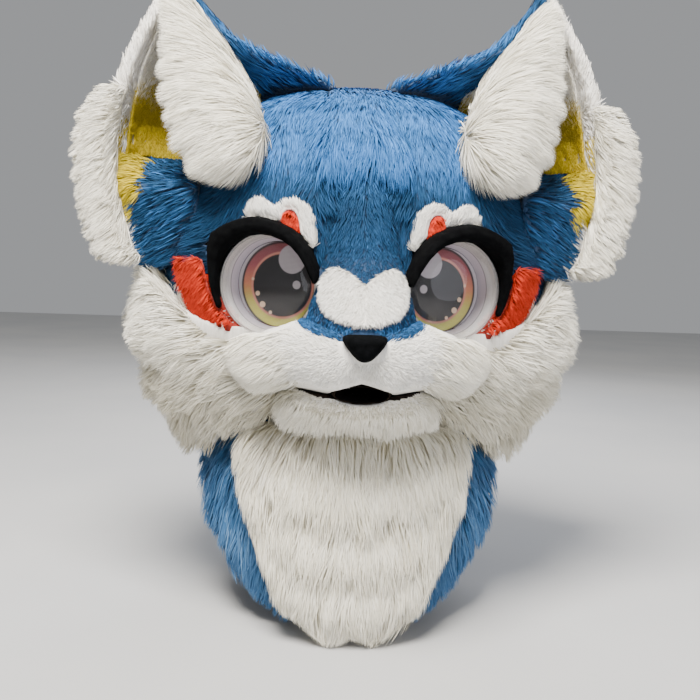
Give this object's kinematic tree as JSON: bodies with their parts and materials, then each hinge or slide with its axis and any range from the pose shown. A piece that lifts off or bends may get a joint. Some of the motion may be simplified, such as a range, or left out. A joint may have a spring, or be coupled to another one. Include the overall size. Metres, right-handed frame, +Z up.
{
  "type": "costume animal head",
  "caption": "Hollow furry costume head of a blue and white canine with upright ears, domed eyes and a neck ruff, worn over the head.",
  "frame": {"origin": "the ceiling of the hollow inside the head, where it rests on the crown of the wearer", "axes": "the face looks toward -Y, +X is the wearer's left (the viewer's right), +Z is up"},
  "size_m": [0.554, 0.393, 0.6211],
  "materials": {
    "blue_short_fur": "medium pile combed down, matt with a soft sheen",
    "blue_ear_fur": "medium pile, matt with a soft sheen",
    "blue_bridge_fur": "short shaved pile, matt",
    "blue_long_fur": "long pile in locks, matt",
    "white_long_fur": "long pile in locks, matt",
    "white_bib_fur": "long wavy pile in locks, matt",
    "white_rim_fur": "long pile, matt",
    "white_tuft_fur": "long pile, matt",
    "white_shaved_fur": "short shaved pile, matt",
    "white_jaw_fur": "short shaved pile, matt",
    "white_patch_fur": "short shaved pile, matt",
    "white_brow_fur": "short shaved pile, matt",
    "red_spot_fur": "short shaved pile, matt",
    "red_cheek_fur": "short shaved pile, matt",
    "cream_lining_plush": "short plush, airbrushed yellow, matt",
    "black_lid_fleece": "fleece, matt",
    "black_nose_fleece": "fleece, matt",
    "black_mouth_cloth": "cloth, matt",
    "clear_dome": "clear and glossy",
    "white_eye_wall": "white, satin",
    "printed_iris_mesh": "printed fine mesh, matt"
  },
  "bodies": {
    "root": {"head_shell": "blue_short_fur", "nose_bridge": "blue_bridge_fur", "muzzle": "white_shaved_fur", "lower_jaw": "white_jaw_fur", "mouth_lining": "black_mouth_cloth", "nose": "black_nose_fleece", "bridge_patch": "white_patch_fur", "neck_ruff": "blue_long_fur", "bib": "white_bib_fur", "eye_dome_left": "clear_dome", "eye_dome_right": "clear_dome", "eye_bowl_left": "white_eye_wall", "eye_bowl_right": "white_eye_wall", "eye_print_left": "printed_iris_mesh", "eye_print_right": "printed_iris_mesh", "eyelid_left": "black_lid_fleece", "eyelid_right": "black_lid_fleece", "brow_spot_left": "red_spot_fur", "brow_spot_right": "red_spot_fur", "brow_patch_left": "white_brow_fur", "brow_patch_right": "white_brow_fur", "cheek_mark_left": "red_cheek_fur", "cheek_mark_right": "red_cheek_fur", "ear_left": "blue_ear_fur", "ear_right": "blue_ear_fur", "ear_lining_left": "cream_lining_plush", "ear_lining_right": "cream_lining_plush", "ear_rim_fur_left": "white_rim_fur", "ear_rim_fur_right": "white_rim_fur", "ear_tuft_left": "white_tuft_fur", "ear_tuft_right": "white_tuft_fur", "cheek_fluff_left": "white_long_fur", "cheek_fluff_right": "white_long_fur"}
  },
  "joints": []
}
